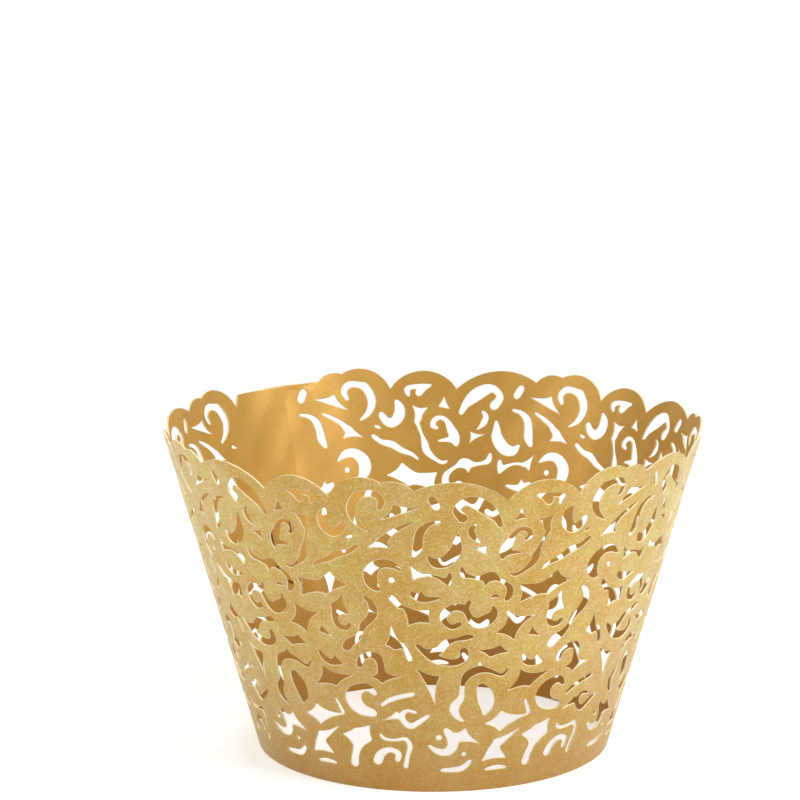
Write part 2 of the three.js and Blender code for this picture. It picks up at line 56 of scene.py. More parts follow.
# The part's facts that come with the frame
SLEEVE_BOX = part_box("wrapper_sleeve")
SLEEVE_HEIGHT = SLEEVE_BOX[1][2] - SLEEVE_BOX[0][2]

MM = 0.001
FULL_TURN = 360


class SleeveSettings(bpy.types.PropertyGroup):
    """Sizes of the wrapper and of the flat blank that it is curled from."""

    foot_diameter: bpy.props.FloatProperty(
        name="Foot Diameter", description="Outside, where the wrapper stands",
        default=0.0529, unit="LENGTH")
    mouth_diameter: bpy.props.FloatProperty(
        name="Mouth Diameter", description="Outside, at the tallest scallop tips",
        default=0.0802, unit="LENGTH")
    height: bpy.props.FloatProperty(
        name="Height", description="Foot to the tallest scallop tips",
        default=SLEEVE_HEIGHT, unit="LENGTH")
    card: bpy.props.FloatProperty(
        name="Card Thickness", description="Thickness of the gold card",
        default=0.0003, unit="LENGTH")
    wave: bpy.props.FloatProperty(
        name="Waviness", description="How far the light card strays in or out of a true cone",
        default=0.00035, unit="LENGTH")
    repeats: bpy.props.FloatProperty(
        name="Ornament Repeats", description="Copies of the ornament round the sleeve",
        default=6.5)
    seam_angle: bpy.props.FloatProperty(
        name="Seam Angle", description="Where the inner end's edge lies, round from the front",
        default=math.radians(-142.75), subtype="ANGLE")


class CardSettings(bpy.types.PropertyGroup):
    """Colours of the gold pearl card, with the colours of its painted shade and painted sheen."""

    gold: bpy.props.FloatVectorProperty(
        name="Gold", description="The card's face", default=(0.585, 0.345, 0.07),
        subtype="COLOR", size=3)
    # Pale Gold is also the colour of the painted sheen that pales the card at grazing angles
    pale_gold: bpy.props.FloatVectorProperty(
        name="Pale Gold", description="The lighter clouds in the pearl coat",
        default=(0.75, 0.655, 0.25), subtype="COLOR", size=3)
    blush: bpy.props.FloatVectorProperty(
        name="Blush", description="The rosier of the light clouds",
        default=(0.79, 0.64, 0.32), subtype="COLOR", size=3)
    # Painted shade: the darker, browner gold painted low on the wrapper, where the foot lies in shade
    foot_shade_gold: bpy.props.FloatVectorProperty(
        name="Deep Gold", description="The browner tone low on the wrapper",
        default=(0.39, 0.18, 0.036), subtype="COLOR", size=3)
    # Painted shade: the inner face is painted a darker, warmer gold than the outer one, for the shade
    # inside the sleeve
    inside_shade_gold: bpy.props.FloatVectorProperty(
        name="Inside Gold", description="The warmer tone of the inner face",
        default=(0.49, 0.275, 0.055), subtype="COLOR", size=3)
    core: bpy.props.FloatVectorProperty(
        name="Core", description="The cream core that shows at a cut edge",
        default=(0.88, 0.76, 0.48), subtype="COLOR", size=3)


class StageSettings(bpy.types.PropertyGroup):
    """The pale studio and the camera."""

    floor_white: bpy.props.FloatProperty(
        name="Floor White", description="Reflectance of the floor", default=0.75, min=0, max=1)
    floor_glow: bpy.props.FloatProperty(
        name="Floor Glow", description="Light added to the floor where the camera sees it",
        default=0.45, min=0, max=1)
    world_light: bpy.props.FloatProperty(
        name="World Light", description="Strength of the even light all round", default=0.32)
    camera_distance: bpy.props.FloatProperty(
        name="Camera Distance", description="Level distance from the wrapper's axis to the camera",
        default=0.46645, unit="LENGTH")
    camera_height: bpy.props.FloatProperty(
        name="Camera Height", description="Height of the camera over the floor",
        default=0.14976, unit="LENGTH")
    camera_pitch: bpy.props.FloatProperty(
        name="Camera Pitch", description="How far the camera looks down",
        default=math.radians(11.837), subtype="ANGLE")
    lens: bpy.props.FloatProperty(
        name="Lens", description="Focal length on a 36 mm sensor", default=144.47)
    shift: bpy.props.FloatProperty(
        name="Shift", description="Sideways shift of the picture", default=-0.0416)


# The ornament, drawn in millimetres on the flat blank: x across from the middle of one
# copy, y up from the foot. The blank's arcs are centred DRAWN_APEX below the foot.
DRAWN_APEX = 98.85
DRAWN_REPEAT = math.radians(14.18)
DRAWN_BAND = 3.1

# The plain parts of the blank, in millimetres
PLAIN_BAND = 3.1
STRIP_DROP = 1.7
UNDER_STRIP = 7.8
OVER_STRIP = 3.7
LAP = 2.6
LAP_RISE = 4.6
LAYER_GAP = 0.3
TAB_HEIGHT = 14
TAB_LENGTH = 4.6
TAB_NARROWING = 1.6
TAB_DIP = 1.2
SLIT_PLAY = 0.4
FIRST_REPEAT = -0.75

# How finely the blank is cut, in millimetres
CUT_STEP = 0.24
EDGE_STEP = 0.5
INNER_STEP = 1.1
ROW_STEP = INNER_STEP * 0.87
CLEAR_OF_CUT = 0.4
CUT_ROUNDING = 0.11
THINNEST_SCROLL = 0.1
DRAWN_MERGE = 1e-4
BLANK_MERGE = 1e-5

# How finely it is cut, in steps and points
CURVE_STEPS = 8
ARC_STEPS = 8
SLOPE_STEPS = 8
SLIT_POINTS = 24
FEWEST_POINTS = 8
CORNER_PASSES = 2
SHARP_ANGLE = math.radians(40)

# Bends of the card, as (strength, waves in a turn, lean of the wave, phase)
SLOW_BENDS = [(0.8, 2, 0, 0.7), (0.5, 3, 0, -1.1)]
QUICK_BENDS = [(0.35, 11, 5, 0), (0.3, 17, -9, 2)]

# Patches in the finish, as (scale, detail, roughness, start, end of the patch)
CLOUDS = (85, 3, 0.55, 0.34, 0.66)
HUES = (140, 2, 0.5, 0.42, 0.62)
MOTTLE = (520, 2, 0.6, 0.35, 0.68)
FLAKES = (3400, 1, 0.5, 0.42, 0.78)
SCORCH = (700, 2, 0.6, 0.45, 0.75)
PAPER_GRAIN = (2100, 3, 0.6)
CORE_GRAIN = (3500, 2, 0.6)

# The heights over which painted shade turns the foot darker and browner, and how much
FOOT_SHADE_TOP = 0.026
FOOT_SHADE = 0.6

# The stage: the floor in metres, and the lamps as (name, place, size, power)
FLOOR_HALF = 3.0
FLOOR_DROP = 0.00002
FLOOR_MOTTLE = 0.98
SHADOW_REACH = 0.07
WHITE_REACH = 0.25
SENSOR_WIDTH = 36
LAMPS = [
    ("key_lamp", (0.55, -0.3, 0.5), 0.5, 5.0),
    ("fill_lamp", (-0.6, -0.2, 0.45), 0.5, 2.5),
    ("back_lamp", (0.1, 0.6, 0.6), 0.6, 2.2),
]


def catmull(p0, p1, p2, p3, t):
    """A point on the smooth curve from p1 to p2."""
    return 0.5 * (2 * p1 + (p2 - p0) * t + (2 * p0 - 5 * p1 + 4 * p2 - p3) * t ** 2
                  + (3 * p1 - 3 * p2 + p3 - p0) * t ** 3)


def arc(x, y, radius, start, end, steps):
    """Points round part of a circle."""
    angles = np.linspace(start, end, steps + 1)
    return np.column_stack([x + radius * np.cos(angles), y + radius * np.sin(angles)])


def dot(x, y, radius):
    """A round hole."""
    return [arc(x, y, radius, 0, 2 * math.pi, 2 * ARC_STEPS)[:-1]]


def tapered_link(a, b):
    """Two circles and the tangents that join them, or the larger if it holds the other."""
    apart = math.hypot(b[0] - a[0], b[1] - a[1])
    if abs(a[2] - b[2]) / 2 > 0.98 * apart:
        x, y, width = a if a[2] > b[2] else b
        return dot(x, y, width / 2)[0]
    along = math.atan2(b[1] - a[1], b[0] - a[0])
    lay = math.acos((a[2] - b[2]) / 2 / apart)
    return np.vstack([
        arc(b[0], b[1], b[2] / 2, along - lay, along + lay, ARC_STEPS),
        arc(a[0], a[1], a[2] / 2, along + lay, along + 2 * math.pi - lay, ARC_STEPS),
    ])


def scroll(*guides):
    """A scroll along a smooth curve, given as (x, y, width) at each guiding point."""
    points = np.array(guides, float)
    ends = np.vstack([2 * points[0] - points[1], points, 2 * points[-1] - points[-2]])
    middle = [catmull(*ends[i:i + 4], step / CURVE_STEPS)
              for i in range(len(points) - 1) for step in range(CURVE_STEPS)]
    middle.append(points[-1])
    middle = [(x, y, max(width, THINNEST_SCROLL)) for x, y, width in middle]
    return [tapered_link(a, b) for a, b in zip(middle, middle[1:])]


def spur(*corners):
    """A figure with sharp corners and hollow sides, given as (x, y, hollow) at each corner."""
    points = np.array([corner[:2] for corner in corners], float)
    middle = points.mean(axis=0)
    outline = []
    for (x, y, hollow), point, following in zip(corners, points, np.roll(points, -1, axis=0)):
        control = (point + following) / 2 * (1 - hollow) + middle * hollow
        for step in range(CURVE_STEPS):
            t = step / CURVE_STEPS
            outline.append(point * (1 - t) ** 2 + 2 * control * t * (1 - t) + following * t ** 2)
    outline = np.array(outline)
    return [outline if signed_area(outline) > 0 else outline[::-1]]


def signed_area(loop):
    """The area of a closed outline, above zero when it runs anticlockwise."""
    following = np.roll(loop, -1, axis=0)
    return 0.5 * float(np.sum(loop[:, 0] * following[:, 1] - following[:, 0] * loop[:, 1]))


# One copy of the ornament: each entry is one opening, made of figures that join
OPENINGS = [
    # Scrolls and leaves under the scallops
    [scroll((-11.5, 47.6, 1.2), (-10.8, 46.5, 1.2))],
    [scroll((-7, 44.9, 1.5), (-8, 46.2, 1.1), (-6.8, 47.6, 1.1), (-5.2, 47.3, 1.9), (-3.6, 46.3, 2),
            (-2.3, 45, 1.2), (-1.6, 43.7, 0.8))],
    [scroll((-10.1, 44.2, 0.4), (-11.6, 43.7, 0.7), (-12.6, 42.6, 1.2), (-12.9, 41.2, 1.3),
            (-12.9, 39.8, 1.4), (-13.3, 38.5, 0.7))],
    [scroll((-7.4, 42.4, 0.4), (-7.5, 41, 1.2), (-7.6, 39.6, 1.8), (-8.8, 38, 1.9), (-10.3, 37.6, 1.4),
            (-11.3, 38.5, 0.5))],
    [scroll((-5, 44, 0.3), (-5.7, 43.2, 0.8), (-5.4, 42.2, 1), (-4.8, 41.5, 0.5), (-4.2, 41, 0.2))],
    [spur((-5.8, 40.3, 0.8), (-3, 40.8, 0.8), (-2.9, 38.7, 0.8))],
    [spur((1.2, 46.4, 0.35), (2.2, 44.6, 0.35), (0.2, 44.2, 0.55))],
    [scroll((2.2, 41.2, 0.5), (3, 41.6, 0.8), (2.6, 42.6, 0.8), (1.5, 42.9, 0.6), (0.6, 42.2, 0.8),
            (0, 41, 1.3), (-0.6, 39.8, 1.6), (-0.9, 38.6, 0.8)),
     scroll((-0.6, 39.3, 1), (0.6, 39.3, 0.7), (2.1, 39.1, 0.2))],
    [scroll((3.3, 48.1, 0.3), (4.5, 47.7, 1), (5.3, 46.9, 1.3)),
     scroll((4.6, 47.8, 1), (6.2, 47.8, 0.7), (7.3, 47.3, 0.9), (7, 46.4, 0.6))],
    [spur((3.6, 44.6, 0.65), (6.5, 44.9, 0.8), (6.1, 42, 0), (4.8, 42.3, 0.75)),
     scroll((5.6, 42.3, 0.7), (5.1, 41, 0.5), (4.6, 39.8, 0.5), (4.2, 38.6, 1.1), (3.8, 37.4, 1.1),
            (2.6, 36.3, 0.6), (1.3, 35.6, 0.5), (0.5, 35.9, 0.4))],
    [scroll((9, 45.4, 0.6), (8.4, 44.2, 1.6), (8.6, 42.8, 1.8), (9.6, 41.8, 1.4), (10.7, 42.2, 1.3),
            (11.4, 43.1, 1))],
    [scroll((11.6, 41, 0.5), (12.3, 41.2, 0.5))],
    [scroll((14.3, 47.6, 1.3), (13.3, 46.2, 1.4), (13, 44.8, 1.3), (13.6, 43.2, 0.9), (14.9, 42, 0.3)),
     scroll((14.3, 47.5, 1.2), (15.6, 47.8, 1), (17, 47.6, 1.1), (17.7, 46.5, 1), (17.1, 45.4, 0.7))],
    [spur((-18.6, 43.3, 0.65), (-16.9, 46.4, 0.7), (-12.8, 46.3, 0))],
    [spur((14.2, 39.3, 0.35), (16.6, 41.2, 0), (17.8, 38.9, 0.8)),
     scroll((16.9, 40.4, 1.2), (18.2, 41.5, 0.8), (20, 42.3, 0.6), (21.5, 42.8, 0.3))],
    [scroll((5.2, 36.1, 0.3), (6.3, 36.9, 0.6), (8, 37.5, 0.9), (9.6, 38.4, 1.1), (11.2, 38.7, 0.8),
            (12.7, 39.6, 0.7))],

    # The stars and double scroll across the middle
    [spur((-14.1, 37.3, 0.7), (-12, 35.8, 0), (-13.2, 34.3, 0.8)),
     scroll((-12.4, 35.3, 0.6), (-11, 35.6, 0.4), (-9.6, 35.3, 0.5), (-8.3, 34.8, 1), (-8.1, 36, 0.6)),
     scroll((-8.3, 34.8, 1), (-8.1, 34.2, 0.6))],
    [scroll((-6.5, 37.1, 0.5), (-6.2, 36, 0.9), (-5, 35.6, 0.5), (-3.9, 35.4, 0.7), (-2.2, 35.6, 1.6),
            (-1.3, 35.2, 0.7), (-0.2, 34.5, 0.6), (0.7, 33.5, 1), (0.7, 32.3, 1.1), (0.3, 31.7, 0.7)),
     spur((-3, 33.9, 0.5), (-3.8, 35.5, 0), (-1.8, 35.2, 0.5))],
    [scroll((-2, 32.2, 0.4), (-1.3, 32.5, 0.5), (-0.7, 32.1, 0.3))],
    [spur((2, 34.1, 0.3), (5.4, 33.9, 0.35), (7.9, 35.6, 0.25), (10.4, 33.4, 0.25), (6.7, 31.7, 0.6),
            (2.3, 31, 0.2))],
    [scroll((18.6, 35.3, 0.3), (17.3, 36.5, 1.2), (15.6, 36.7, 1.5), (14.2, 35.6, 2), (13.9, 34.2, 2),
            (14.4, 33, 1.2), (15.2, 32.5, 0.2))],
    [dot(16.9, 34, 0.5)],
    [scroll((-13.1, 32.3, 0.9), (-12, 31.7, 1.1), (-10.8, 31.7, 0.9), (-9.1, 32.1, 0.3)),
     spur((-11.9, 33.3, 0.55), (-12.6, 32, 0), (-10.8, 31.9, 0.75))],
    [spur((-14.9, 30.6, 0.7), (-10.4, 30.1, 0.25), (-10.1, 27.8, 0.5), (-13.3, 27, 0.4)),
     scroll((-16, 31.3, 0.9), (-14.7, 30, 0.8))],
    [scroll((-6.1, 27.9, 0.9), (-7.1, 27.4, 0.8), (-8.2, 28.2, 0.9), (-8.4, 29.4, 1.1),
            (-7.4, 30.5, 1.1), (-6, 30.6, 1.2), (-5.2, 29.9, 0.9), (-4.5, 28.7, 1.1), (-3.4, 28.1, 1.7),
            (-2.2, 28.6, 2), (-1.3, 29.5, 1.2), (-1.5, 30.7, 0.5)),
     scroll((-5, 31.6, 0.7), (-5.3, 30.5, 0.8))],
    [spur((0.5, 30.1, 0.65), (5.2, 28.8, 0.8), (2.1, 24.8, 0.35), (-0.9, 26.3, 0.8))],
    [spur((4.8, 26.8, 0.15), (4, 25.5, 0.75), (6.8, 24.5, 0.8))],
    [scroll((9.4, 27, 0.8), (8.8, 26.4, 0.8), (7.7, 26.7, 0.9), (7.3, 27.8, 0.9), (7.6, 28.9, 1.3),
            (8.3, 29.7, 1.3), (8.9, 31.5, 0.5)),
     spur((9.1, 31.9, 0.5), (9.9, 28.7, 0.35), (7.4, 28.2, 0), (6.9, 30.4, 0.4))],
    [scroll((12.5, 31.6, 0.6), (13.3, 30.4, 1), (13.3, 29, 1.4), (12.6, 27.9, 1.2), (11.5, 27, 1.1),
            (10.9, 25.8, 0.7), (10, 24.7, 1.1), (8.9, 24.1, 1.4), (8.2, 23.3, 1.4))],
    [spur((-15.8, 27.1, 0.65), (-13.5, 23.6, 0), (-14.9, 22.7, 0.2), (-16.4, 23.4, 0.65)),
     scroll((-13.9, 23.8, 0.8), (-13.2, 22.9, 0.7), (-12.6, 21.6, 0.8))],
    [scroll((-11.8, 24.1, 0.6), (-10.6, 23.1, 1), (-9.3, 22.2, 1.3), (-7.8, 21.7, 1.3),
            (-6.2, 21.6, 1.1), (-5, 22.4, 1.2), (-5.1, 23.5, 1.3)),
     scroll((-9.9, 23, 1.3), (-8.6, 23.5, 1.3), (-7.7, 24.8, 1.1), (-6.3, 25.4, 0.6), (-4.9, 25.8, 1),
            (-3.8, 25.9, 0.3))],
    [spur((-3.3, 23.7, 0.65), (0.2, 24.4, 0.2), (1.6, 23, 0.45), (-1.3, 22.3, 0.35))],

    # Sickles and leaves of the lower half
    [scroll((3.6, 22.2, 0.6), (4.2, 21.2, 1), (5.3, 20.6, 1), (6.9, 20.5, 0.4)),
     spur((6, 22.1, 0.4), (5.2, 20.9, 0), (7.1, 20.6, 0.65))],
    [scroll((9.7, 20.4, 1), (10.1, 21.4, 1), (11.3, 22.1, 1), (12.6, 21.8, 1.3), (12.9, 20.5, 1.1),
            (12.8, 19.3, 1.2)),
     spur((11, 18.5, 0.45), (12.9, 19.9, 0.7), (15.8, 18.3, 0.65), (12.5, 17.2, 0.4))],
    [spur((-11.8, 20.4, 0.4), (-8.1, 19.3, 0.6), (-8.4, 14.2, 0.6))],
    [scroll((1.6, 20.3, 0.4), (0.8, 19.3, 0.5), (-1, 20.1, 0.7), (-2.6, 20.4, 1.2), (-4.2, 19.6, 1.3),
            (-4.8, 18.2, 0.8), (-4.8, 16.8, 0.7), (-4.9, 15.6, 1), (-5.7, 14.2, 1.4), (-5.3, 12.8, 0.9),
            (-4.2, 11.8, 0.3)),
     spur((-2.7, 21.9, 0.5), (-3.6, 20.2, 0), (-1, 20.2, 0.75))],
    [scroll((-2, 17.4, 1.5), (-1.3, 15.8, 2.4), (-1, 14.2, 1.8), (-1.3, 12.9, 0.4))],
    [spur((3.5, 20, 0.8), (8.8, 18.9, 0.45), (5.4, 16.6, 0.55), (1.7, 16.5, 0.5))],
    [scroll((11.2, 15.7, 0.7), (10.4, 16.7, 1.2), (9, 16.6, 1.5), (7.9, 15.6, 2.3), (7.8, 14.2, 2.5),
            (8.8, 13, 1.9), (10.3, 12.5, 1.3))],
    [scroll((16.7, 15.3, 0.7), (15, 15.1, 0.7), (13.2, 14.6, 0.7), (11.9, 13.8, 0.5))],
    [spur((-1.2, 11.3, 0.45), (1.2, 13.4, 0.65), (5.9, 12.1, 0.55), (1.3, 9.7, 0.35)),
     scroll((4.8, 14.6, 0.4), (5.3, 13.3, 0.5), (5.6, 12.3, 0.6))],
    [scroll((16.6, 12.2, 0.5), (15.5, 12.7, 0.5), (14.6, 12.1, 0.8), (14.6, 11, 0.8), (15.5, 10, 0.9),
            (16.8, 10.6, 0.8), (18.3, 11.4, 0.6)),
     spur((11.3, 11.2, 0.8), (13.9, 12.8, 0), (14.6, 11.3, 0.8))],

    # The row above the plain band
    [dot(-7.5, 9, 0.5)],
    [scroll((-8.9, 7.6, 0.3), (-7.6, 6.7, 0.9), (-6.2, 6.6, 1.2), (-5.4, 7.6, 1.5), (-5.6, 9, 1.5),
            (-6.6, 10.3, 0.8)),
     spur((-3.8, 10.8, 0.6), (-1.4, 8, 0.75), (-5.4, 8, 0), (-5.5, 9.8, 0.4))],
    [dot(-3.7, 6.3, 0.4)],
    [scroll((-6.7, 3.5, 0.5), (-5.2, 3.6, 0.8), (-3.7, 3.9, 0.9), (-2.7, 5, 0.7))],
    [spur((-1, 4.9, 0.3), (2.8, 5, 0.5), (1.5, 7.1, 0.2), (4.8, 10.2, 0.35), (0.6, 8.6, 0.15),
            (-0.3, 6.8, 0.1))],
    [scroll((-0.3, 3.5, 0.4), (1.2, 3.7, 0.7), (2.8, 3.5, 0.4))],
    [spur((4.7, 8.7, 0.2), (7, 9.9, 0.15), (9.5, 10.5, 0.2), (9.4, 7.9, 0.3), (6.6, 5.4, 0.1),
          (5.9, 7.6, 0.1)),
     scroll((5.9, 3.9, 1.3), (6.2, 5.2, 1.1), (6.8, 6.6, 1.2))],
    [scroll((-16, 3.7, 1.4), (-15.6, 5, 1.2), (-14.4, 6, 0.8), (-13.1, 5.6, 0.9), (-13.1, 4.5, 0.8))],
    [scroll((10.8, 9, 0.4), (11.2, 8.2, 0.5), (12.8, 7.9, 0.4), (14.4, 8, 0.6), (14.8, 6.6, 0.7),
            (14.2, 5.2, 0.6), (13.6, 3.3, 0.7))],
]

# The notches of the scalloped edge in one copy, as (x, y, rise of the scallop after it)
NOTCHES = [(-18.7, 49.2, 0.8), (-14.1, 48.5, 2.4), (-0.8, 47.5, 3), (10, 47.2, 2)]


def scallop(start, end, rise):
    """An arc from notch to notch that rises above the straight line between them."""
    width = float(np.hypot(*(end - start)))
    radius = (width * width / 4 + rise * rise) / (2 * rise)
    along = (end - start) / width
    upward = np.array([-along[1], along[0]])
    centre = (start + end) / 2 + upward * (rise - radius)
    half = math.asin(width / 2 / radius)
    angles = np.linspace(-half, half, math.ceil(2 * half * radius / EDGE_STEP) + 1)
    return centre + radius * (np.outer(np.sin(angles), along) + np.outer(np.cos(angles), upward))


def drawn_scallops():
    """The scallops of one copy; the last one ends at the first notch of the next copy."""
    points = [np.array(notch[:2], float) for notch in NOTCHES]
    across, up = points[0] + (0, DRAWN_APEX)
    angle = math.atan2(across, up) + DRAWN_REPEAT
    reach = math.hypot(across, up)
    points.append(np.array([reach * math.sin(angle), reach * math.cos(angle) - DRAWN_APEX]))
    return [scallop(points[i], points[i + 1], notch[2]) for i, notch in enumerate(NOTCHES)]


def joined_outline(figures):
    """The outer outline of figures that overlap."""
    points = [Vector(point) for figure in figures for point in figure]
    starts = np.cumsum([0] + [len(figure) for figure in figures])
    faces = [list(range(start, end)) for start, end in zip(starts, starts[1:])]
    verts, _, triangles, _, _, owners = delaunay_2d_cdt(points, [], faces, 1, DRAWN_MERGE)
    inside = [tuple(triangle) for triangle, owner in zip(triangles, owners) if owner]
    loops = border_loops(inside)
    outlines = [np.array([verts[v] for v in loop]) for loop in loops]
    return max(outlines, key=signed_area)


def border_edges(triangles):
    """Edges that only one of the triangles has, in the direction that it has them."""
    edges = {(t[i], t[(i + 1) % 3]) for t in triangles for i in range(3)}
    return [edge for edge in sorted(edges) if (edge[1], edge[0]) not in edges]


def border_loops(triangles):
    """The closed borders of a set of triangles, as lists of points in order."""
    following = dict(border_edges(triangles))
    loops = []
    while following:
        at = next(iter(following))
        loop = []
        while at in following:
            loop.append(at)
            at = following.pop(at)
        loops.append(loop)
    return loops


def to_the_right(line):
    """At each point of a closed line, the direction that leads off to its right."""
    along = np.roll(line, -1, axis=0) - np.roll(line, 1, axis=0)
    right = np.column_stack([along[:, 1], -along[:, 0]])
    return right / np.hypot(*right.T)[:, None]


def even_outline(outline):
    """The outline with evenly spaced points, eased corners and room for its rounded edge."""
    closed = np.vstack([outline, outline[:1]])
    lengths = np.hypot(*np.diff(closed, axis=0).T)
    reach = np.concatenate([[0], np.cumsum(lengths)])
    count = max(FEWEST_POINTS, round(reach[-1] / CUT_STEP))
    at = np.linspace(0, reach[-1], count, endpoint=False)
    even = np.column_stack([np.interp(at, reach, closed[:, axis]) for axis in (0, 1)])
    for _ in range(CORNER_PASSES):
        even = even * 0.5 + 0.25 * (np.roll(even, 1, axis=0) + np.roll(even, -1, axis=0))
    return even + CUT_ROUNDING / 2 * to_the_right(even)


class Blank:
    """The flat blank in millimetres, and how it curls into the sleeve."""

    def __init__(self, settings):
        foot, mouth = settings.foot_diameter / MM, settings.mouth_diameter / MM
        height = settings.height / MM
        self.slant = math.hypot(height, (mouth - foot) / 2)
        self.lean = math.asin((mouth - foot) / 2 / self.slant)
        self.apex = foot / 2 / math.sin(self.lean)
        self.skin = settings.card / MM / math.cos(self.lean)
        self.lap_lift = self.skin + LAYER_GAP
        self.per_mm = math.degrees(4 / (foot + mouth))
        self.outer_end = FULL_TURN + LAP * self.per_mm
        self.zone_start = UNDER_STRIP * self.per_mm
        self.zone_end = self.outer_end - OVER_STRIP * self.per_mm
        self.repeat_turn = (self.zone_end - self.zone_start) / settings.repeats
        self.copies = math.ceil(settings.repeats - FIRST_REPEAT)
        self.strip_top = self.slant - STRIP_DROP
        self.dip_turn = TAB_DIP * self.per_mm
        self.tab_low = (self.slant - TAB_HEIGHT) / 2
        self.tab_high = self.tab_low + TAB_HEIGHT
        self.wave = settings.wave / MM
        self.seam = settings.seam_angle
        self.scallops = drawn_scallops()
        drawn = np.vstack(self.scallops) + (0, DRAWN_APEX)
        self.drawn_top = float(np.hypot(*drawn.T).max()) - DRAWN_APEX

    def flat(self, turn, up):
        """Points of the flat blank from their turn round the cone and their way up it."""
        angle = np.radians(turn) * math.sin(self.lean)
        return np.column_stack([(self.apex + up) * np.sin(angle), (self.apex + up) * np.cos(angle)])

    def unroll(self, points):
        """The turn and the way up of points on the flat blank."""
        turn = np.degrees(np.arctan2(points[:, 0], points[:, 1])) / math.sin(self.lean)
        turn = np.where(turn < -1, turn + FULL_TURN / math.sin(self.lean), turn)
        return turn, np.hypot(points[:, 0], points[:, 1]) - self.apex

    def place_drawn(self, points, copy):
        """Takes drawn points of the ornament to a turn and a way up, in one copy."""
        reach = np.hypot(points[:, 0], DRAWN_APEX + points[:, 1])
        across = np.arctan2(points[:, 0], DRAWN_APEX + points[:, 1]) / DRAWN_REPEAT
        share = (reach - DRAWN_APEX - DRAWN_BAND) / (self.drawn_top - DRAWN_BAND)
        turn = self.zone_start + (FIRST_REPEAT + copy + 0.5 + across) * self.repeat_turn
        return turn, PLAIN_BAND + share * (self.slant - PLAIN_BAND)

    def cut_openings(self):
        """The openings of every copy that lie wholly in the cut zone."""
        drawn = [even_outline(joined_outline(sum(figures, []))) for figures in OPENINGS]
        openings = []
        for copy in range(self.copies):
            for outline in drawn:
                turn, up = self.place_drawn(outline, copy)
                if turn.min() > self.zone_start and turn.max() < self.zone_end:
                    openings.append(self.flat(turn, up))
        return openings

    def slit(self):
        """The slit that the tab passes through."""
        low, high = self.tab_low - SLIT_PLAY, self.tab_high + SLIT_PLAY
        start = self.outer_end - FULL_TURN
        ups = np.linspace(low, high, SLIT_POINTS)
        turns = np.repeat([start + self.dip_turn, start], SLIT_POINTS)
        return self.flat(turns, np.concatenate([ups, ups[::-1]]))

    def scalloped_edge(self):
        """The scalloped edge over the cut zone, from the inner end to the outer one."""
        edge = []
        for copy in range(self.copies):
            for drawn in self.scallops:
                turn, up = self.place_drawn(drawn, copy)
                if turn[0] >= self.zone_start and turn[-1] <= self.zone_end:
                    edge.append(self.flat(turn, up)[:-1])
        return np.vstack(edge)

    def level_edge(self, start, end, up):
        """Points at one height from one turn to another, with the last left out."""
        length = abs(end - start) / self.per_mm
        turns = np.linspace(start, end, math.ceil(length / EDGE_STEP) + 1)[:-1]
        return self.flat(turns, np.full(len(turns), float(up)))

    def rising_edge(self, turn, start, end):
        """Points along the cone's side at one turn, with the last left out."""
        ups = np.linspace(start, end, math.ceil(abs(end - start) / EDGE_STEP) + 1)[:-1]
        return self.flat(np.full(len(ups), float(turn)), ups)

    def outline(self):
        """The outer edge of the whole blank, with its tab, anticlockwise."""
        nose = self.outer_end + TAB_LENGTH * self.per_mm
        low, high = self.tab_low, self.tab_high
        return np.vstack([
            self.level_edge(0, self.outer_end, 0),
            self.rising_edge(self.outer_end, 0, low),
            self.level_edge(self.outer_end, self.outer_end + self.dip_turn, low),
            self.slope(self.outer_end + self.dip_turn, low, nose, low + TAB_NARROWING),
            self.rising_edge(nose, low + TAB_NARROWING, high - TAB_NARROWING),
            self.slope(nose, high - TAB_NARROWING, self.outer_end + self.dip_turn, high),
            self.level_edge(self.outer_end + self.dip_turn, self.outer_end, high),
            self.rising_edge(self.outer_end, high, self.strip_top),
            self.level_edge(self.outer_end, self.zone_end, self.strip_top),
            self.scalloped_edge()[::-1],
            self.level_edge(self.zone_start, 0, self.strip_top),
            self.rising_edge(0, self.strip_top, 0),
        ])

    def slope(self, turn_a, up_a, turn_b, up_b):
        """A straight edge between two places, with its last point left out."""
        shares = np.linspace(0, 1, SLOPE_STEPS, endpoint=False)
        return self.flat(turn_a + (turn_b - turn_a) * shares, up_a + (up_b - up_a) * shares)

    def inner_points(self, cuts):
        """A staggered grid over the blank that keeps clear of every cut edge."""
        tree = KDTree(len(cuts))
        for i, (x, y) in enumerate(cuts):
            tree.insert((x, y, 0), i)
        tree.balance()
        points = []
        for row, up in enumerate(np.arange(INNER_STEP, self.slant, ROW_STEP)):
            step = math.degrees(INNER_STEP / ((self.apex + up) * math.sin(self.lean)))
            turns = np.arange(step * (1 + row % 2) / 2, self.outer_end, step)
            for x, y in self.flat(turns, np.full(len(turns), up)):
                if tree.find((x, y, 0))[2] > CLEAR_OF_CUT:
                    points.append((x, y))
        return points

    def triangles(self):
        """The whole blank as flat points and triangles."""
        loops = [self.outline(), self.slit()] + self.cut_openings()
        cuts = np.vstack(loops)
        points = [Vector(point) for point in cuts] + [Vector(p) for p in self.inner_points(cuts)]
        starts = np.cumsum([0] + [len(loop) for loop in loops])
        faces = [list(range(start, end)) for start, end in zip(starts, starts[1:])]
        verts, _, found, _, _, owners = delaunay_2d_cdt(points, [], faces, 1, BLANK_MERGE)
        kept = [tuple(triangle) for triangle, owner in zip(found, owners) if list(owner) == [0]]
        used = sorted({v for triangle in kept for v in triangle})
        renumber = {v: i for i, v in enumerate(used)}
        flat = np.array([verts[v] for v in used])
        return flat, [tuple(renumber[v] for v in triangle) for triangle in kept]

    def stand_off(self, turn, up):
        """How far the card stands off the true cone: at the lap, the tab, and its waviness."""
        rise = np.clip((turn - FULL_TURN) / (LAP_RISE * self.per_mm) + 1, 0, 1)
        rise = rise * rise * (3 - 2 * rise)
        dip = np.clip((turn - self.outer_end) / self.dip_turn, 0, 1)
        return self.lap_lift * (rise - 2 * dip) + self.waviness(turn, up)

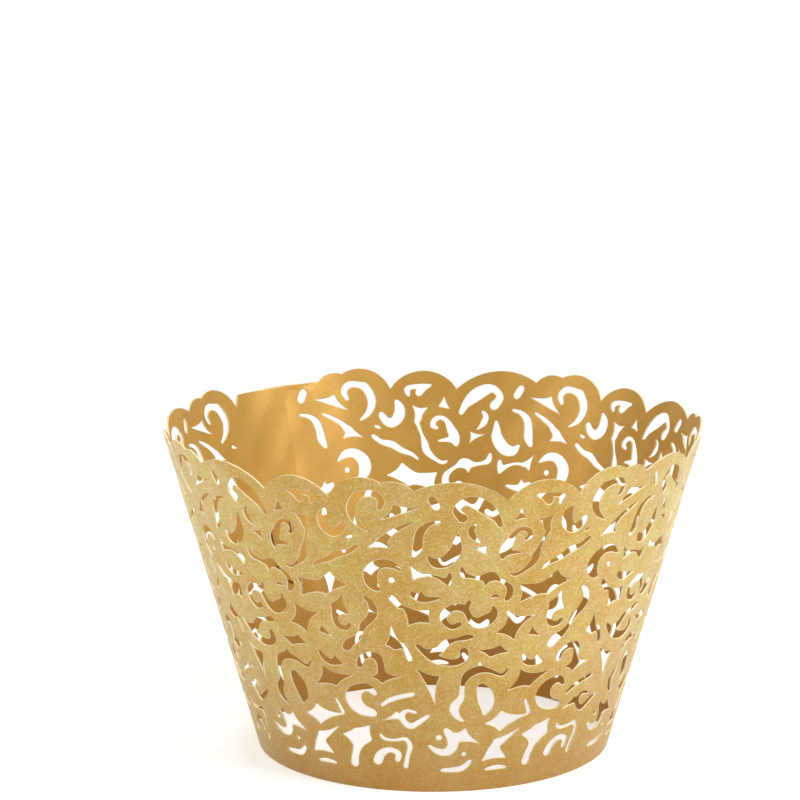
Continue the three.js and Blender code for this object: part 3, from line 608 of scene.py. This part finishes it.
    def waviness(self, turn, up):
        """Slow bends of a thin sheet, none at the foot, the same on both sides of the lap."""
        angle = np.radians(turn)
        share = np.clip(up / self.slant, 0, 1)
        slow, quick = (
            sum(strength * np.sin(waves * angle + lean * share + phase)
                for strength, waves, lean, phase in bends)
            for bends in (SLOW_BENDS, QUICK_BENDS))
        local = 0.3 * np.sin(29 * angle + 13 * share) * np.sin(21 * share + 4)
        return self.wave * (share ** 1.5 * slow + share * (1.2 - share) * quick + share * local)

    def curl(self, flat, depth):
        """Curls flat points onto the cone, "depth" inside its outer face, in metres."""
        turn, up = self.unroll(flat)
        radius = (self.apex + up) * math.sin(self.lean) + self.stand_off(turn, up) - depth
        angle = self.seam + np.radians(turn)
        return MM * np.column_stack([
            radius * np.sin(angle), -radius * np.cos(angle), up * math.cos(self.lean)])


def cut_edges(flat, triangles):
    """The walls of the cuts, rounded in the openings, and the flat middle points they need.

    A border has the card on its left, so what leads off to its right leads out of the card.
    """
    count = len(flat)
    loops = sorted(border_loops(triangles), key=len)
    rim = loops.pop()
    walls = [(b, a, count + a, count + b) for a, b in zip(rim, rim[1:] + rim[:1])]
    middle = []
    first = 2 * count
    for loop in loops:
        ring = range(first, first + len(loop))
        first += len(loop)
        middle.append(flat[loop] + CUT_ROUNDING * to_the_right(flat[loop]))
        for a, b, middle_a, middle_b in zip(loop, loop[1:] + loop[:1], ring, [*ring[1:], ring[0]]):
            walls.append((b, a, middle_a, middle_b))
            walls.append((middle_b, middle_a, count + a, count + b))
    return walls, np.vstack(middle)


def sleeve_mesh(blank):
    """The curled sheet: slot 0 outside, slot 1 inside, slot 2 along the cuts."""
    flat, triangles = blank.triangles()
    count = len(flat)
    walls, middle = cut_edges(flat, triangles)
    faces = list(triangles)
    faces += [(count + a, count + c, count + b) for a, b, c in triangles]
    layers = [blank.curl(flat, 0), blank.curl(flat, blank.skin), blank.curl(middle, blank.skin / 2)]
    mesh = bpy.data.meshes.new("filigree_sleeve")
    mesh.from_pydata(np.vstack(layers).tolist(), [], faces + walls)
    slots = [0] * len(triangles) + [1] * len(triangles) + [2] * len(walls)
    mesh.polygons.foreach_set("material_index", slots)
    mesh.polygons.foreach_set("use_smooth", [True] * len(mesh.polygons))
    mesh.set_sharp_from_angle(angle=SHARP_ANGLE)
    add_blank_map(mesh, np.vstack([flat, flat, middle]))
    mesh.validate()
    return mesh


def add_blank_map(mesh, places):
    """A UV map that lays the sheet out as the flat blank, in tenths of a metre."""
    layer = mesh.uv_layers.new(name="blank")
    corners = np.zeros(len(mesh.loops), int)
    mesh.loops.foreach_get("vertex_index", corners)
    layer.data.foreach_set("uv", (places[corners] * MM * 10).ravel())


class Socket:
    """One output of a material's nodes, on which arithmetic adds Math nodes."""

    def __init__(self, finish, output):
        self.finish = finish
        self.output = output

    def maths(self, operation, *values, clamp=False):
        """A Math node on this socket and others."""
        inputs = dict(enumerate((self,) + values))
        return self.finish.node("ShaderNodeMath", inputs, operation=operation, use_clamp=clamp)

    def __add__(self, other):
        return self.maths("ADD", other)

    def __sub__(self, other):
        return self.maths("SUBTRACT", other)

    def __mul__(self, other):
        return self.maths("MULTIPLY", other)

    def __rsub__(self, other):
        return (self * -1) + other

    __radd__ = __add__

    def clamped(self):
        """The same value, kept between 0 and 1."""
        return self.maths("ADD", 0.0, clamp=True)


class Finish:
    """The node tree of a material or the world, built by expressions on its sockets."""

    def __init__(self, owner):
        self.owner = owner
        owner.use_nodes = True
        self.tree = owner.node_tree
        self.tree.nodes.clear()

    def node(self, kind, inputs=(), output=0, **settings):
        """Adds a node: its settings first, then the values or links of its sockets."""
        made = self.tree.nodes.new(kind)
        for name, value in settings.items():
            setattr(made, name, value)
        for key, value in dict(inputs).items():
            if isinstance(value, Socket):
                self.tree.links.new(value.output, made.inputs[key])
            else:
                made.inputs[key].default_value = value
        return Socket(self, made.outputs[output])

    def seen(self):
        """1 where the camera, a reflection or clear glass looks, 0 where light is gathered."""
        rays = ("Is Camera Ray", "Is Glossy Ray", "Is Transmission Ray")
        return sum(self.node("ShaderNodeLightPath", output=ray) for ray in rays).clamped()

    def noise(self, place, scale, detail=2.0, roughness=0.5):
        """A cloudy value from 0 to 1 at a place on the piece."""
        inputs = {"Vector": place, "Scale": scale, "Detail": detail, "Roughness": roughness}
        return self.node("ShaderNodeTexNoise", inputs)

    def patches(self, place, scale, detail, roughness, start, end):
        """Noise that is 0 below "start", 1 above "end" and soft between them."""
        return self.spread(self.noise(place, scale, detail, roughness), start, end)

    def blend(self, share, first, second):
        """One colour turning into another."""
        inputs = {0: share, 6: first, 7: second}
        return self.node("ShaderNodeMix", inputs, output=2, data_type="RGBA")

    def spread(self, value, low, high):
        """Stretches the values between low and high over 0 to 1."""
        inputs = {0: value, 1: low, 2: high}
        return self.node("ShaderNodeMapRange", inputs)

    def mix(self, share, first, second):
        """One shader turning into another."""
        return self.node("ShaderNodeMixShader", {0: share, 1: first, 2: second})

    def surface(self, shader, kind="ShaderNodeOutputMaterial"):
        """Ends the tree in a shader and gives back the material or the world."""
        made = self.tree.nodes.new(kind)
        self.tree.links.new(shader.output, made.inputs["Surface"])
        return self.owner


def rgba(colour):
    """A colour setting as a socket takes it."""
    return (*colour, 1.0)


def pearl_face(name, card, main, paler, rosy):
    """Gold pearl card: clouds in the coat, a fine glitter of flakes, a faint paper grain, a painted
    sheen that pales the colour at grazing angles and painted shade that darkens it towards the foot.
    """
    finish = Finish(bpy.data.materials.new(name))
    place = finish.node("ShaderNodeTexCoord", output="Object")
    height = finish.node("ShaderNodeSeparateXYZ", {0: place}, output="Z")
    clouds = finish.patches(place, *CLOUDS)
    mottle = finish.patches(place, *MOTTLE)
    flakes = finish.patches(place, *FLAKES)
    # Painted sheen: the colour pales where the card is seen at a glancing angle
    painted_grazing_sheen = finish.node("ShaderNodeLayerWeight", {"Blend": 0.42}, output="Facing")
    light = finish.blend(finish.patches(place, *HUES), rgba(paler), rgba(rosy))
    # The pearl mix: the real clouds, mottle and flakes of the coat, plus the painted grazing sheen
    pearl = clouds * 0.32 + mottle * 0.24 + flakes * 0.6 + painted_grazing_sheen * 0.42 - 0.24
    colour = finish.blend(pearl.clamped(), rgba(main), light)
    # Painted shade: the colour darkens towards the foot
    low = finish.spread(height, FOOT_SHADE_TOP, 0)
    colour = finish.blend(low * FOOT_SHADE, colour, rgba(card.foot_shade_gold))
    relief = finish.noise(place, *PAPER_GRAIN) * 0.5 + mottle * 0.5
    bump = finish.node("ShaderNodeBump", {"Strength": 0.25, "Distance": 0.00006, "Height": relief})
    shader = finish.node("ShaderNodeBsdfPrincipled", {
        "Base Color": colour,
        "Roughness": 0.48 - flakes * 0.16,
        "Metallic": 0.35,
        "Specular IOR Level": 0.35,
        "Normal": bump,
    })
    return finish.surface(shader)


def cut_core(card):
    """The cream core of the card along a laser cut, a little scorched in places."""
    finish = Finish(bpy.data.materials.new("cream_core"))
    place = finish.node("ShaderNodeTexCoord", output="Object")
    scorch = finish.patches(place, *SCORCH)
    colour = finish.blend(scorch * 0.5, rgba(card.core), rgba(card.gold))
    grain = finish.noise(place, *CORE_GRAIN)
    bump = finish.node("ShaderNodeBump", {"Strength": 0.3, "Distance": 0.00005, "Height": grain})
    shader = finish.node("ShaderNodeBsdfPrincipled", {
        "Base Color": colour,
        "Roughness": 0.7,
        "Normal": bump,
    })
    return finish.surface(shader)


class WRAPPER_OT_sleeve(bpy.types.Operator):
    """Cut the blank, curl it into the sleeve and give it its gold card."""

    bl_idname = "wrapper.sleeve"
    bl_label = "Filigree Sleeve"

    def execute(self, context):
        settings = context.scene.wrapper_sleeve
        card = context.scene.wrapper_card
        mesh = sleeve_mesh(Blank(settings))
        outside = pearl_face("gold_pearl", card, card.gold, card.pale_gold, card.blush)
        # The inner face gets a darker copy of the gold: painted shade
        inside = pearl_face("gold_pearl_inside", card, card.inside_shade_gold, card.gold, card.inside_shade_gold)
        for finish in (outside, inside, cut_core(card)):
            mesh.materials.append(finish)
        sleeve = bpy.data.objects.new("filigree_sleeve", mesh)
        context.scene.collection.objects.link(sleeve)
        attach(sleeve, "root")
        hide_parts("wrapper_sleeve")
        return {"FINISHED"}


def floor_finish(settings):
    """A pale floor that keeps the wrapper's shadow and fades to plain white further off."""
    finish = Finish(bpy.data.materials.new("pale_floor"))
    place = finish.node("ShaderNodeTexCoord", output="Object")
    away = finish.node("ShaderNodeVectorMath", {0: place}, output="Value", operation="LENGTH")
    tone = settings.floor_white
    darker = tone * FLOOR_MOTTLE
    colour = finish.blend(finish.noise(place, 30), rgba([tone] * 3), rgba([darker] * 3))
    diffuse = finish.node("ShaderNodeBsdfDiffuse", {"Color": colour})
    glow = finish.node("ShaderNodeEmission", {"Strength": settings.floor_glow})
    near = finish.node("ShaderNodeAddShader", {0: diffuse, 1: glow})
    far = finish.node("ShaderNodeEmission", {"Strength": 1.0})
    lit = finish.mix(finish.spread(away, SHADOW_REACH, WHITE_REACH), near, far)
    return finish.surface(finish.mix(finish.seen(), diffuse, lit))


def studio_world(settings):
    """Even soft light all round, and plain white where the camera or a reflection sees it."""
    finish = Finish(bpy.data.worlds.new("studio"))
    light = finish.node("ShaderNodeBackground", {0: (1, 1, 1, 1), 1: settings.world_light})
    white = finish.node("ShaderNodeBackground", {0: (1, 1, 1, 1), 1: 1.0})
    shader = finish.mix(finish.seen(), light, white)
    return finish.surface(shader, "ShaderNodeOutputWorld")


def add_floor(scene, settings):
    """A wide level floor, a hair under the foot."""
    half = FLOOR_HALF
    mesh = bpy.data.meshes.new("pale_floor")
    corners = [(-half, -half, 0), (half, -half, 0), (half, half, 0), (-half, half, 0)]
    mesh.from_pydata(corners, [], [(0, 1, 2, 3)])
    mesh.materials.append(floor_finish(settings))
    floor = bpy.data.objects.new("pale_floor", mesh)
    floor.location.z = -FLOOR_DROP
    scene.collection.objects.link(floor)


def add_lamp(scene, name, place, size, power):
    """A square soft lamp that looks at the middle of the wrapper."""
    aim = (0, 0, SLEEVE_HEIGHT / 2)
    lamp = bpy.data.lights.new(name, "AREA")
    lamp.size = size
    lamp.energy = power
    holder = bpy.data.objects.new(name, lamp)
    holder.location = place
    holder.rotation_euler = (Vector(aim) - Vector(place)).to_track_quat("-Z", "Y").to_euler()
    scene.collection.objects.link(holder)


def add_camera(scene, settings):
    """The camera, level with no roll, and shifted sideways to frame the wrapper."""
    lens = bpy.data.cameras.new("camera")
    lens.lens = settings.lens
    lens.sensor_width = SENSOR_WIDTH
    lens.shift_x = settings.shift
    camera = bpy.data.objects.new("camera", lens)
    camera.location = (0, -settings.camera_distance, settings.camera_height)
    camera.rotation_euler = (math.pi / 2 - settings.camera_pitch, 0, 0)
    scene.collection.objects.link(camera)
    scene.camera = camera


class WRAPPER_OT_stage(bpy.types.Operator):
    """Lay the pale floor, set the lamps and place the camera."""

    bl_idname = "wrapper.stage"
    bl_label = "Studio Stage"

    def execute(self, context):
        scene = context.scene
        settings = scene.wrapper_stage
        add_floor(scene, settings)
        for lamp in LAMPS:
            add_lamp(scene, *lamp)
        scene.world = studio_world(settings)
        add_camera(scene, settings)
        scene.view_settings.view_transform = "Standard"
        return {"FINISHED"}


class WRAPPER_PT_panel(bpy.types.Panel):
    """Lists the wrapper's piece, its stage and their settings."""

    bl_idname = "WRAPPER_PT_panel"
    bl_label = "Cupcake Wrapper"
    bl_space_type = "VIEW_3D"
    bl_region_type = "UI"
    bl_category = "Wrapper"

    def draw(self, context):
        scene = context.scene
        for operator in (WRAPPER_OT_sleeve, WRAPPER_OT_stage):
            self.layout.operator(operator.bl_idname)
        for settings in (scene.wrapper_sleeve, scene.wrapper_card, scene.wrapper_stage):
            box = self.layout.box()
            for name in settings.__annotations__:
                box.prop(settings, name)


SETTINGS = {
    "wrapper_sleeve": SleeveSettings,
    "wrapper_card": CardSettings,
    "wrapper_stage": StageSettings,
}
CLASSES = (WRAPPER_OT_sleeve, WRAPPER_OT_stage, WRAPPER_PT_panel)


def register():
    for name, group in SETTINGS.items():
        bpy.utils.register_class(group)
        setattr(bpy.types.Scene, name, bpy.props.PointerProperty(type=group))
    for operator in CLASSES:
        bpy.utils.register_class(operator)


def unregister():
    for operator in reversed(CLASSES):
        bpy.utils.unregister_class(operator)
    for name, group in SETTINGS.items():
        delattr(bpy.types.Scene, name)
        bpy.utils.unregister_class(group)


def main():
    register()
    bpy.ops.wrapper.stage()
    bpy.ops.wrapper.sleeve()
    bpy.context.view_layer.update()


if __name__ == "__main__":
    main()
